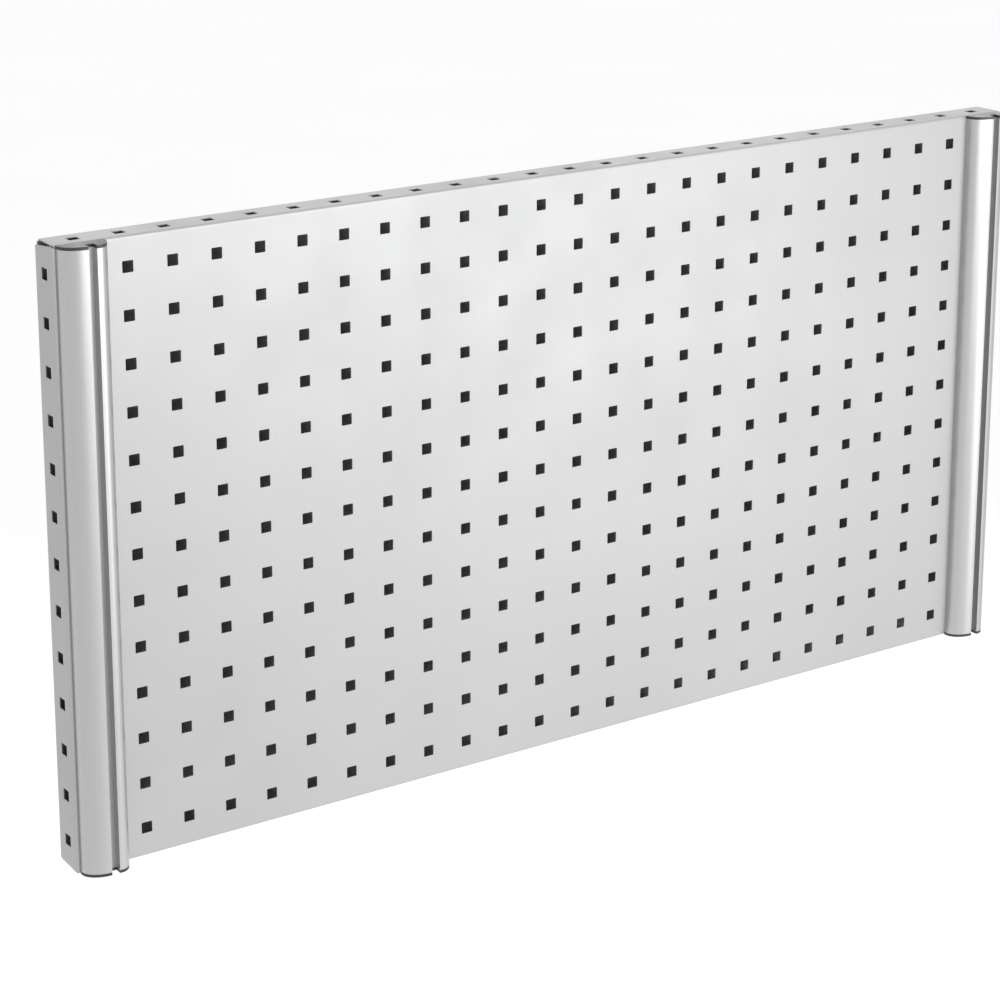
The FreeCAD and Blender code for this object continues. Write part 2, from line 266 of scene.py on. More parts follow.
def ellipse_quarter(centre: Flat, half_width: float, half_height: float, side: int) -> list[Flat]:
    """Points up a quarter ellipse, from its side to its top.

    Args:
        centre: The ellipse's centre.
        half_width: Half its width, across the rail.
        half_height: Half its height, out from the panel.
        side: -1 for the left quarter, 1 for the right.

    Returns:
        The points, the side first.
    """
    points = []
    for step in range(CURVE_STEPS + 1):
        angle = math.pi / 2 * step / CURVE_STEPS
        out = side * half_width * math.cos(angle)
        points.append((centre[0] + out, centre[1] + half_height * math.sin(angle)))
    return points


def upright(centre: Flat, loop: Sequence[Flat], depth: float) -> Loop:
    """Stands a loop up about a centre, in the plane at one depth."""
    return [(centre[0] + a, depth, centre[1] + b) for a, b in loop]


def rounded_rectangle(half_width: float, half_height: float, radius: float, steps: int = 4) -> list[Flat]:
    """Points round a rectangle with rounded corners.

    Args:
        half_width: Half its width.
        half_height: Half its height.
        radius: Radius of its corners.
        steps: Segments in each corner.

    Returns:
        The points, anticlockwise.
    """
    points = []
    for corner, (x, z) in enumerate(((1, 1), (-1, 1), (-1, -1), (1, -1))):
        for step in range(steps + 1):
            angle = math.pi / 2 * (corner + step / steps)
            across = x * (half_width - radius) + radius * math.cos(angle)
            points.append((across, z * (half_height - radius) + radius * math.sin(angle)))
    return points


@dataclass(frozen=True)
class Thread:
    """Screw thread along Y. Threads of one size mesh wherever they are cut."""

    crest: float
    root: float
    pitch: float
    rows_per_turn: int = 6
    around: int = 28

    def depths(self, start: float, end: float) -> list[float]:
        """Depths of the rows of points between two planes.

        Args:
            start: Depth of the front plane.
            end: Depth of the rear plane.

        Returns:
            The depths, front to rear.
        """
        step = self.pitch / self.rows_per_turn
        first = math.floor(start / step) + 1
        last = math.ceil(end / step) - 1
        return [start] + [row * step for row in range(first, last + 1)] + [end]

    def rows(
        self, centre: Flat, start: float, end: float, cut: Callable[[float, float], float]
    ) -> list[Loop]:
        """Loops of points along the thread.

        Args:
            centre: Place of its axis, across and up.
            start: Depth of its front end.
            end: Depth of its rear end.
            cut: Turns a depth and the thread's radius there into the radius that is left.

        Returns:
            One loop for each row.
        """
        loops = []
        for depth in self.depths(start, end):
            loop = []
            for x, z in circle(1.0, self.around):
                phase = (depth / self.pitch - math.atan2(z, x) / math.tau) % 1.0
                radius = cut(depth, self.root + (self.crest - self.root) * abs(2 * phase - 1))
                loop.append((x * radius, z * radius))
            loops.append(upright(centre, loop, depth))
        return loops

    def shank(self, centre: Flat, start: float, end: float, chamfer: float, tip: int) -> list[Loop]:
        """Outside thread with a chamfer at its tip.

        Args:
            centre: Place of its axis, across and up.
            start: Depth of its front end.
            end: Depth of its rear end.
            chamfer: Size of the chamfer.
            tip: -1 where the tip is the front end, 1 where it is the rear end.

        Returns:
            One loop for each row.
        """
        def cut(depth: float, radius: float) -> float:
            """Draws the thread in near its tip."""
            left = end - depth if tip > 0 else depth - start
            return min(radius, self.crest - max(0.0, chamfer - left))

        return self.rows(centre, start, end, cut)

    def bore(self, centre: Flat, start: float, end: float, mouth: float, gap: float) -> list[Loop]:
        """Inside thread, countersunk at both ends.

        Args:
            centre: Place of its axis, across and up.
            start: Depth of its front end.
            end: Depth of its rear end.
            mouth: How much wider than the crests each end is.
            gap: Clearance to the thread that goes in.

        Returns:
            One loop for each row.
        """
        def cut(depth: float, radius: float) -> float:
            """Opens the thread out near its ends."""
            return max(radius, self.crest + mouth - min(depth - start, end - depth)) + gap

        return self.rows(centre, start, end, cut)


M3 = Thread(1.5 * MM, 1.2 * MM, 0.5 * MM, around=20)
M6 = Thread(3.0 * MM, 2.42 * MM, 1.0 * MM)
M8 = Thread(4.0 * MM, 3.42 * MM, 1.25 * MM, around=32)


# Finishes


@dataclass(frozen=True)
class Noise:
    """Cloudy pattern of a finish, with its middle range spread from a low to a high value."""

    per_metre: float
    octaves: float = 2.0
    sharpness: float = 0.5
    low: float = 0.0
    high: float = 1.0
    drawn: bool = False


class Recipe:
    """A material under construction: its nodes and the links between them."""

    middle: Flat = (0.3, 0.7)
    drawn_scale: Point = (1.0, 1.0, 0.004)

    def __init__(self, name: str) -> None:
        """Starts a material with a plain shader.

        Args:
            name: The material's name.
        """
        self.material = bpy.data.materials.new(name)
        self.material.use_nodes = True
        self.tree = self.material.node_tree
        self.shader = self.tree.nodes["Principled BSDF"]
        self.place = self.tree.nodes.new("ShaderNodeTexCoord").outputs["Object"]

    def feed(self, node: bpy.types.Node, inputs: dict[str | int, object]) -> None:
        """Fills a node's inputs.

        Args:
            node: The node.
            inputs: A value for each input, or the socket that it is linked to.
        """
        for key, value in inputs.items():
            if isinstance(value, bpy.types.NodeSocket):
                self.tree.links.new(value, node.inputs[key])
            else:
                node.inputs[key].default_value = value

    def node(self, kind: str, inputs: dict[str | int, object], **values: object) -> bpy.types.Node:
        """Adds a node.

        Args:
            kind: Blender's name for the node's type.
            inputs: What goes into its inputs.
            **values: Properties to set on it first.

        Returns:
            The node.
        """
        made = self.tree.nodes.new(kind)
        for key, value in values.items():
            setattr(made, key, value)
        self.feed(made, inputs)
        return made

    def noise(self, pattern: Noise) -> bpy.types.NodeSocket:
        """Values of a pattern before they are spread, about 0.5 on average.

        Args:
            pattern: The pattern, stretched along Z where it is drawn.

        Returns:
            Its values.
        """
        place = self.place
        if pattern.drawn:
            scaled = self.node("ShaderNodeMapping", {"Scale": self.drawn_scale, "Vector": place})
            place = scaled.outputs["Vector"]
        values = {"Scale": pattern.per_metre, "Detail": pattern.octaves, "Roughness": pattern.sharpness}
        return self.node("ShaderNodeTexNoise", {**values, "Vector": place}).outputs["Fac"]

    def total(self, patterns: Sequence[Noise]) -> bpy.types.NodeSocket:
        """Adds up patterns, each spread over its own range.

        Args:
            patterns: The patterns.

        Returns:
            Their sum.
        """
        result = None
        for pattern in patterns:
            low, high = self.middle
            limits = {"From Min": low, "From Max": high, "To Min": pattern.low, "To Max": pattern.high}
            spread = self.node("ShaderNodeMapRange", {**limits, "Value": self.noise(pattern)})
            value = spread.outputs["Result"]
            if result:
                value = self.node("ShaderNodeMath", {0: result, 1: value}, operation="ADD").outputs[0]
            result = value
        return result

    def tint(self, patterns: Sequence[Noise], low: Point, high: Point) -> bpy.types.NodeSocket:
        """Mixes two colours by patterns.

        Args:
            patterns: Patterns whose sum is 0 for the first colour and 1 for the second.
            low: The first colour.
            high: The second colour.

        Returns:
            The mixed colour.
        """
        colours = {"A": (*low, 1.0), "B": (*high, 1.0)}
        mix = self.node("ShaderNodeMix", {**colours, "Factor": self.total(patterns)}, data_type="RGBA")
        return next(socket for socket in mix.outputs if socket.type == "RGBA")


def toned(shade: Point, factor: float) -> Point:
    """A colour made darker or lighter."""
    return shade[0] * factor, shade[1] * factor, shade[2] * factor


@dataclass(frozen=True)
class Finish:
    """Surface with a clouded colour and roughness, and a fine relief."""

    name: str
    low: Point
    high: Point
    tint: tuple[Noise, ...]
    roughness: tuple[Noise, ...]
    relief: Noise
    depth: float
    strength: float
    metallic: float = 1.0
    specular: float = 0.5

    def build(self) -> bpy.types.Material:
        """Makes the material.

        Returns:
            The material.
        """
        recipe = Recipe(self.name)
        size = {"Distance": self.depth, "Strength": self.strength}
        bump = recipe.node("ShaderNodeBump", {**size, "Height": recipe.noise(self.relief)})
        surface = {
            "Base Color": recipe.tint(self.tint, self.low, self.high),
            "Roughness": recipe.total(self.roughness),
            "Normal": bump.outputs["Normal"],
            "Metallic": self.metallic,
            "Specular IOR Level": self.specular,
        }
        recipe.feed(recipe.shader, surface)
        return recipe.material


@dataclass(frozen=True)
class PowderCoat(Finish):
    """Satin silver-grey powder coat with metal flake and a fine orange peel."""

    name: str = "silver_powder_coat"
    low: Point = toned((0.40, 0.4015, 0.4065), 0.975)
    high: Point = toned((0.40, 0.4015, 0.4065), 1.02)
    tint: tuple[Noise, ...] = (Noise(4.0, 3.0), Noise(5200.0, 1.0, low=-0.3, high=0.3))
    roughness: tuple[Noise, ...] = (Noise(14.0, 4.0, low=0.37, high=0.48),)
    relief: Noise = Noise(900.0)
    depth: float = 0.02 * MM
    strength: float = 0.35
    metallic: float = 0.45
    specular: float = 0.45


DIE_LINES = Noise(2600.0, 3.0, 0.6, low=0.33, high=0.39, drawn=True)


@dataclass(frozen=True)
class Anodising(Finish):
    """Clear anodised extrusion with fine die lines along its length."""

    name: str = "clear_anodising"
    low: Point = toned((0.485, 0.485, 0.489), 0.965)
    high: Point = (0.485, 0.485, 0.489)
    tint: tuple[Noise, ...] = (Noise(240.0, drawn=True),)
    roughness: tuple[Noise, ...] = (DIE_LINES, Noise(22.0, 3.0, low=-0.015, high=0.02))
    relief: Noise = DIE_LINES
    depth: float = 0.006 * MM
    strength: float = 0.5


@dataclass(frozen=True)
class MouldedPlastic(Finish):
    """Dark grey moulded plastic with a fine spark-eroded texture."""

    name: str = "dark_moulded_plastic"
    low: Point = toned((0.022, 0.0225, 0.024), 0.9)
    high: Point = toned((0.022, 0.0225, 0.024), 1.12)
    tint: tuple[Noise, ...] = (Noise(60.0, 3.0),)
    roughness: tuple[Noise, ...] = (Noise(60.0, 3.0, low=0.27, high=0.41),)
    relief: Noise = Noise(2600.0)
    depth: float = 0.03 * MM
    strength: float = 0.5
    metallic: float = 0.0


@dataclass(frozen=True)
class ZincPlate(Finish):
    """Bright zinc plate with faint blue and yellow clouds."""

    name: str = "bright_zinc_plate"
    low: Point = (0.56, 0.60, 0.66)
    high: Point = (0.66, 0.64, 0.57)
    tint: tuple[Noise, ...] = (Noise(190.0, 3.0, 0.6),)
    roughness: tuple[Noise, ...] = (Noise(1500.0, 3.0, low=0.24, high=0.42),)
    relief: Noise = Noise(1500.0, 3.0)
    depth: float = 0.01 * MM
    strength: float = 0.4


@dataclass(frozen=True)
class StudioFloor:
    """Pale matt floor."""

    shade: Point = (0.93, 0.93, 0.93)
    darker: float = 0.99
    clouds: Noise = Noise(1.5)
    roughness: float = 0.9
    specular: float = 0.1

    def build(self) -> bpy.types.Material:
        """Makes the material.

        Returns:
            The material.
        """
        recipe = Recipe("pale_floor")
        surface = {
            "Base Color": recipe.tint([self.clouds], toned(self.shade, self.darker), self.shade),
            "Roughness": self.roughness,
            "Specular IOR Level": self.specular,
        }
        recipe.feed(recipe.shader, surface)
        return recipe.material


# The folded, perforated panel


@dataclass
class PerforatedTray:
    """Steel tray folded from one sheet, with square peg holes in its face and its flanges."""

    finish: bpy.types.Material
    pitch: float = 38 * MM
    columns: int = 25
    rows: int = 13
    hole: float = 9.2 * MM
    hole_corner: float = 0.7 * MM
    sheet: float = 1.0 * MM
    bend_radius: float = 2.2 * MM
    edge_round: float = 0.16 * MM
    notch: float = 1.2 * MM
    top_taper: float = 1.6 * MM
    side_taper: float = 3.0 * MM
    bend_steps: int = 8
    corner_steps: int = 3
    sketch: Sketch = field(default_factory=Sketch)

    def __post_init__(self) -> None:
        """Reads the panel's size from the frame."""
        low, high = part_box("perforated_panel")
        self.front = low.y
        self.half_width = high.x
        self.half_height = high.z
        self.depth = high.y - low.y
        self.flat_x = self.half_width - self.bend_radius
        self.flat_z = self.half_height - self.bend_radius
        self.arc = self.bend_radius * math.pi / 2
        self.flange_hole = (self.columns - 1) / 2 * self.pitch + self.pitch - self.half_width

    def folded(self, travel: float, flat: float) -> Flat:
        """Follows the sheet's outer surface over a fold.

        Args:
            travel: Distance along the surface from the panel's middle line.
            flat: Where the flat face ends.

        Returns:
            Distance out from the middle line, and depth behind the face.
        """
        past = travel - flat
        if past <= 0:
            return travel, 0.0
        if past < self.arc:
            angle = past / self.bend_radius
            return flat + self.bend_radius * math.sin(angle), self.bend_radius * (1 - math.cos(angle))
        return flat + self.bend_radius, self.bend_radius + past - self.arc

    def cell(self, low: Flat, high: Flat, place: Callable, hole: Flat | None = None) -> None:
        """Fills one cell of sheet, around its peg hole where it has one.

        Args:
            low: The cell's lower corner.
            high: Its upper corner.
            place: Turns the cell's flat coordinates into a position.
            hole: The hole's centre.
        """
        corners = [(high[0], high[1]), (low[0], high[1]), (low[0], low[1]), (high[0], low[1])]
        if hole is None:
            self.sketch.face([place(*spot) for spot in corners])
            return
        half = self.hole / 2
        rim = rounded_rectangle(half, half, self.hole_corner, self.corner_steps)
        quarter = self.corner_steps + 1
        for index in range(4):
            start = index * quarter + quarter // 2
            inner = [rim[(start + step) % len(rim)] for step in range(quarter + 1)]
            ring = [corners[index], corners[(index + 1) % 4]]
            ring += [(hole[0] + a, hole[1] + b) for a, b in reversed(inner)]
            self.sketch.face([place(*spot) for spot in ring])

    def grid(self, count: int) -> list[float]:
        """Lines between the holes of a row, about its middle."""
        return [(index - count / 2) * self.pitch for index in range(count + 1)]

    def face_places(self, x: float, z: float) -> Point:
        """Position on the flat face."""
        return x, self.front, z

    def front_face(self) -> None:
        """Cells of the face, and the plain border round them."""
        xs = [-self.flat_x] + self.grid(self.columns) + [self.flat_x]
        zs = [-self.flat_z] + self.grid(self.rows) + [self.flat_z]
        for i, (x, next_x) in enumerate(zip(xs, xs[1:])):
            for j, (z, next_z) in enumerate(zip(zs, zs[1:])):
                drilled = 0 < i < len(xs) - 2 and 0 < j < len(zs) - 2
                hole = ((x + next_x) / 2, (z + next_z) / 2) if drilled else None
                self.cell((x, z), (next_x, next_z), self.face_places, hole)

    def edge_strip(
        self, count: int, flat_along: float, flat_out: float, taper: float, place: Callable
    ) -> None:
        """Fold and flange along one edge, with a row of peg holes.

        Args:
            count: Holes in the row.
            flat_along: Half the face's length along this edge.
            flat_out: Half the face's size towards this edge.
            taper: How much each end of the flange draws in towards the back.
            place: Turns (along, out, depth) into a position.
        """
        lines = [-flat_along] + self.grid(count) + [flat_along]
        flange_end = flat_along + self.bend_radius - self.notch

        def along(value: float, travel: float) -> float:
            """Moves the ends of the strip out over the fold, and in again along the flange.

            Args:
                value: Distance along the edge from its middle.
                travel: Distance out over the sheet from the panel's middle line.

            Returns:
                The moved distance along the edge.
            """
            if abs(value) < flat_along - GRAIN:
                return value
            past = travel - flat_out
            if past <= self.arc:
                end = flat_along + (flange_end - flat_along) * max(past, 0.0) / self.arc
            else:
                end = flange_end - taper * (past - self.arc) / (self.depth - self.bend_radius)
            return math.copysign(end, value)

        def spot(value: float, travel: float) -> Point:
            """Position of a point of the strip."""
            out, depth = self.folded(travel, flat_out)
            return place(along(value, travel), out, self.front + depth)

        travels = [flat_out + self.arc * step / self.bend_steps for step in range(self.bend_steps + 1)]
        rear = flat_out + self.arc + self.depth - self.bend_radius
        hole_travel = flat_out + self.arc + self.flange_hole - self.bend_radius
        for index, (left, right) in enumerate(zip(lines, lines[1:])):
            for start, end in zip(travels, travels[1:]):
                self.cell((left, start), (right, end), spot)
            drilled = 0 < index < len(lines) - 2
            hole = ((left + right) / 2, hole_travel) if drilled else None
            self.cell((left, travels[-1]), (right, rear), spot, hole)

    def build(self) -> None:
        """Makes the tray."""
        self.front_face()
        for side in (-1, 1):
            self.edge_strip(
                self.columns, self.flat_x, self.flat_z, self.top_taper,
                lambda along, out, y, side=side: (along, y, side * out),
            )
            self.edge_strip(
                self.rows, self.flat_z, self.flat_x, self.side_taper,
                lambda along, out, y, side=side: (side * out, y, along),
            )
        make_piece(
            self.sketch, "folded_peg_panel", self.finish, "perforated_panel",
            self.edge_round, thickness=self.sheet,
        )


# Rails and their caps


@dataclass
class RailSection:
    """Shape of the rail across its length: across the rail, and out from the panel."""

    width: float = 40 * MM
    height: float = 16.5 * MM
    wall: float = 2.0 * MM
    foot: float = 2.5 * MM
    groove_left: float = -0.7 * MM
    groove_width: float = 6.8 * MM
    groove_depth: float = 7.0 * MM
    lobe_land: float = 2.0 * MM
    slot_mouth: float = 8.4 * MM
    slot_width: float = 13.2 * MM
    slot_lip: float = 2.2 * MM
    slot_roof: float = 7.2 * MM
    slot_side: float = 1.6 * MM

    def outline(self, slotted: bool) -> list[Flat]:
        """Outer shape of the section.

        Args:
            slotted: Whether its base has the bolt slot.

        Returns:
            The points, clockwise from the base's left end.
        """
        half = self.width / 2
        lobe = self.groove_left + self.groove_width
        floor = self.height - self.groove_depth
        dome_width = self.groove_left + half
        dome_height = self.height - self.foot
        lobe_width = half - lobe - self.lobe_land
        points: list[Flat] = [(-half, 0.0)]
        points += ellipse_quarter((self.groove_left, self.foot), dome_width, dome_height, -1)
        points += [(self.groove_left, floor), (lobe, floor), (lobe, self.height)]
        lobe_side = ellipse_quarter((lobe + self.lobe_land, 0.0), lobe_width, self.height, 1)
        points += lobe_side[::-1]
        if slotted:
            mouth = self.slot_mouth / 2
            inside = self.slot_width / 2
            slot = [(mouth, 0.0), (mouth, self.slot_lip), (inside, self.slot_lip), (inside, self.slot_roof)]
            points += slot + [(-x, y) for x, y in reversed(slot)]
        return points

    def chambers(self, gap: float = 0.0) -> list[list[Flat]]:
        """The two hollows of the section, drawn in by a gap.

        Args:
            gap: How far inside the walls the outlines lie.

        Returns:
            The outline under the dome, and the one under the lobe.
        """
        wall = self.wall + gap
        half = self.width / 2
        step = -self.slot_width / 2 - self.slot_side - gap
        right = self.groove_left - wall
        shelf = self.slot_roof + self.slot_side + gap
        spring = max(self.foot, wall)
        dome: list[Flat] = [(right, shelf), (step, shelf), (step, wall), (-half + wall, wall)]
        dome_width = right + half - wall
        dome_height = self.height - wall - spring
        dome += ellipse_quarter((right, spring), dome_width, dome_height, -1)
        start = -step
        lobe: list[Flat] = [(start, wall)]
        lobe_height = self.height - 2 * wall
        lobe += ellipse_quarter((start, wall), half - wall - start, lobe_height, 1)
        return [dome, lobe]


@dataclass
class GroovedRail:
    """Extruded aluminium rail up one end of the panel."""

    side: Side
    finish: bpy.types.Material
    section: RailSection = field(default_factory=RailSection)
    edge_round: float = 0.35 * MM
    edge_steps: int = 3

    def build(self) -> None:
        """Makes the rail."""
        node = self.side.word + "_rail"
        low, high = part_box(node)
        centre = (low.x + high.x) / 2
        sketch = Sketch()
        loops = [self.section.outline(True)] + self.section.chambers()
        ends = [
            [[(centre + a, high.y - b, z) for a, b in loop] for loop in loops] for z in (low.z, high.z)
        ]
        for bottom, top in zip(*ends):
            sketch.strip(bottom, top)
        sketch.cover(ends[0])
        sketch.cover(ends[1], flip=True)
        name = self.side.word + "_grooved_rail"
        make_piece(sketch, name, self.finish, node, self.edge_round, self.edge_steps)


@dataclass
class EndCap:
    """Moulded cap on one end of a rail, with a push-in peg for each hollow."""

    side: Side
    end: int
    finish: bpy.types.Material
    section: RailSection = field(default_factory=RailSection)
    plate: float = 2.5 * MM
    peg_gap: float = 0.3 * MM
    edge_round: float = 0.45 * MM
    edge_steps: int = 3

    def build(self) -> None:
        """Makes the cap."""
        level = "top" if self.end > 0 else "bottom"
        node = f"{self.side.word}_{level}_cap"
        low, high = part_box(node)
        centre = (low.x + high.x) / 2
        outer = high.z if self.end > 0 else low.z
        seat = outer - self.end * self.plate
        tip = low.z if self.end > 0 else high.z

        def ring(loop: list[Flat], z: float) -> Loop:
            """Section outline at one height."""
            return [(centre + a, high.y - b, z) for a, b in loop]

        outline = self.section.outline(False)
        pegs = self.section.chambers(self.peg_gap)
        sketch = Sketch()
        sketch.strip(ring(outline, seat), ring(outline, outer))
        sketch.cover([ring(outline, outer)])
        sketch.cover([ring(outline, seat)] + [ring(peg, seat) for peg in pegs], flip=True)
        for peg in pegs:
            sketch.strip(ring(peg, seat), ring(peg, tip))
            sketch.cover([ring(peg, tip)], flip=True)
        name = f"{self.side.word}_{level}_end_cap"
        make_piece(sketch, name, self.finish, node, self.edge_round, self.edge_steps)


# Back: cover, channels and mounting plates


@dataclass(frozen=True)
class Hole:
    """Round hole through a sheet, wider at one face where it is countersunk."""

    centre: Flat
    front_radius: float
    rear_radius: float


@dataclass(frozen=True)
class BackLayout:
    """Where the fastenings of the back are."""

    mount_across: float = 454 * MM
    mount_up: float = 190 * MM
    screw_across: float = 438.5 * MM
    screw_ups: tuple[float, ...] = (-225 * MM, -112.5 * MM, 0.0, 112.5 * MM, 225 * MM)
    bolt_across: float = 457 * MM
    bolt_ups: tuple[float, ...] = (228 * MM, 114 * MM, 0.0, -114 * MM, -228 * MM)

    def mounts(self) -> list[Flat]:
        """Centres of the mounting bolts."""
        return [(side.value * self.mount_across, up * self.mount_up) for side in Side for up in (1, -1)]

    def screws(self) -> list[Flat]:
        """Centres of the cover's screws."""
        return [(side.value * self.screw_across, up) for side in Side for up in self.screw_ups]

    def bolts(self, side: Side) -> list[Flat]:
        """Centres of the bolts behind one rail."""
        return [(side.value * self.bolt_across, up) for up in self.bolt_ups]


LAYOUT = BackLayout()


def drilled_sheet(
    sketch: Sketch, outline: Sequence[Flat], holes: Sequence[Hole], front: float, rear: float
) -> None:
    """Draws a flat sheet with round holes.

    Args:
        sketch: The piece being drawn.
        outline: The sheet's outline, across and up.
        holes: Its holes.
        front: Depth of its front face.
        rear: Depth of its rear face.
    """
    loops = {}
    for depth in (front, rear):
        loops[depth] = [upright((0.0, 0.0), outline, depth)]
        for hole in holes:
            radius = hole.front_radius if depth == front else hole.rear_radius
            loops[depth].append(upright(hole.centre, circle(radius, HOLE_POINTS), depth))
    for first, second in zip(loops[front], loops[rear]):
        sketch.strip(first, second)
    sketch.cover(loops[front])
    sketch.cover(loops[rear])


@dataclass
class RearCover:
    """Flat sheet that closes the back of the tray."""

    finish: bpy.types.Material
    screw_hole: float = 1.5 * MM
    countersink: float = 3.0 * MM
    bolt_opening: float = 5.0 * MM
    corner: float = 0.6 * MM
    edge_round: float = 0.2 * MM

    def build(self) -> None:
        """Makes the cover."""
        low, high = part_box("rear_cover")
        holes = [Hole(place, self.bolt_opening, self.bolt_opening) for place in LAYOUT.mounts()]
        holes += [Hole(place, self.screw_hole, self.countersink) for place in LAYOUT.screws()]
        sketch = Sketch()
        drilled_sheet(sketch, rounded_rectangle(high.x, high.z, self.corner), holes, low.y, high.y)
        make_piece(sketch, "flat_rear_cover", self.finish, "rear_cover", self.edge_round)


@dataclass
class FoldedChannel:
    """Folded steel channel behind one rail, open at the rear between two lips.

    Its section is a path of nine flat and bent runs, from the inner lip to the outer one.
    """

    side: Side
    finish: bpy.types.Material
    sheet: float = 1.5 * MM
    bend_radius: float = 2.5 * MM
    inner_lip: float = 12.0 * MM
    outer_lip: float = 7.5 * MM
    bolt_hole: float = 3.5 * MM
    nut_hole: float = 2.1 * MM
    bend_steps: int = 6
    hole_points: int = 24
    lip_run: int = 0
    web_run: int = 4
    edge_round: float = 0.2 * MM

    def build(self) -> None:
        """Makes the channel."""
        node = self.side.word + "_channel"
        low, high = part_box(node)
        inner, outer = sorted((abs(low.x), abs(high.x)))
        sign = self.side.value
        r = self.bend_radius
        corners = (
            (inner + r, high.y - r, 90.0),
            (inner + r, low.y + r, 180.0),
            (outer - r, low.y + r, 270.0),
            (outer - r, high.y - r, 360.0),
        )
        path: list[list[Flat]] = [[(inner + self.inner_lip, high.y)]]
        for x, y, start in corners:
            for step in range(self.bend_steps + 1):
                angle = math.radians(start + 90.0 * step / self.bend_steps)
                path[-1].append((x + r * math.cos(angle), y + r * math.sin(angle)))
                if step in (0, self.bend_steps):
                    path.append([path[-1][-1]])
        path[-1].append((outer - self.outer_lip, high.y))
        holes = {self.lip_run: LAYOUT.screws(), self.web_run: LAYOUT.bolts(self.side)}
        radii = {self.lip_run: self.nut_hole, self.web_run: self.bolt_hole}
        sketch = Sketch()
        for run, points in enumerate(path):
            for (x, y), (next_x, next_y) in zip(points, points[1:]):
                quad = [
                    (sign * x, y, low.z), (sign * next_x, next_y, low.z),
                    (sign * next_x, next_y, high.z), (sign * x, y, high.z),
                ]
                if run in holes:
                    own = [place for place in holes[run] if place[0] * sign > 0]
                    ring = circle(radii[run], self.hole_points)
                    rings = [upright(place, ring, y) for place in own]
                    sketch.cover([quad] + rings)
                else:
                    sketch.face(quad)
        name = self.side.word + "_folded_channel"
        make_piece(sketch, name, self.finish, node, self.edge_round, thickness=self.sheet)


@dataclass
class MountingPlate:
    """Thick plate inside a channel's lips, with its weld nut in front."""

    side: Side
    level: int
    finish: bpy.types.Material
    bore: float = 3.4 * MM
    corner: float = 2.0 * MM
    edge_round: float = 0.3 * MM

    def build(self) -> None:
        """Makes the plate."""
        word = ("upper_" if self.level > 0 else "lower_") + self.side.word
        node = word + "_mounting_plate"
        low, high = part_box(node)
        middle = ((low.x + high.x) / 2, (low.z + high.z) / 2)
        loop = rounded_rectangle((high.x - low.x) / 2, (high.z - low.z) / 2, self.corner)
        outline = [(middle[0] + a, middle[1] + b) for a, b in loop]
        place = (self.side.value * LAYOUT.mount_across, self.level * LAYOUT.mount_up)
        sketch = Sketch()
        drilled_sheet(sketch, outline, [Hole(place, self.bore, self.bore)], low.y, high.y)
        make_piece(sketch, word + "_plate", self.finish, node, self.edge_round)


# Fasteners


@dataclass(frozen=True)
class HexNut:
    """Hexagon nut with a thread and chamfered corners."""

    flats: float
    thread: Thread
    gap: float
    mouth: float = 0.25 * MM
    around: int = 48
    chamfer_steps: int = 4
    face_share: float = 0.96
    slope: float = math.tan(math.radians(30))

    def draw(self, sketch: Sketch, centre: Flat, front: float, rear: float) -> None:
        """Draws one nut.

        Args:
            sketch: The piece being drawn.
            centre: Place of its axis, across and up.
            front: Depth of its front face.
            rear: Depth of its rear face.
        """
        start = self.flats / 2 * self.face_share
        rise = (self.flats / math.sqrt(3) - start) * self.slope
        levels = [rise * step / self.chamfer_steps for step in range(self.chamfer_steps + 1)]
        rows = [(front + level, level) for level in levels]
        rows += [(rear - level, level) for level in reversed(levels)]
        outer = []
        for depth, level in rows:
            limit = start + level / self.slope
            outer.append(upright(centre, hexagon(self.flats, self.around, limit), depth))
        sketch.bored_stack(outer, self.thread.bore(centre, front, rear, self.mouth, self.gap))


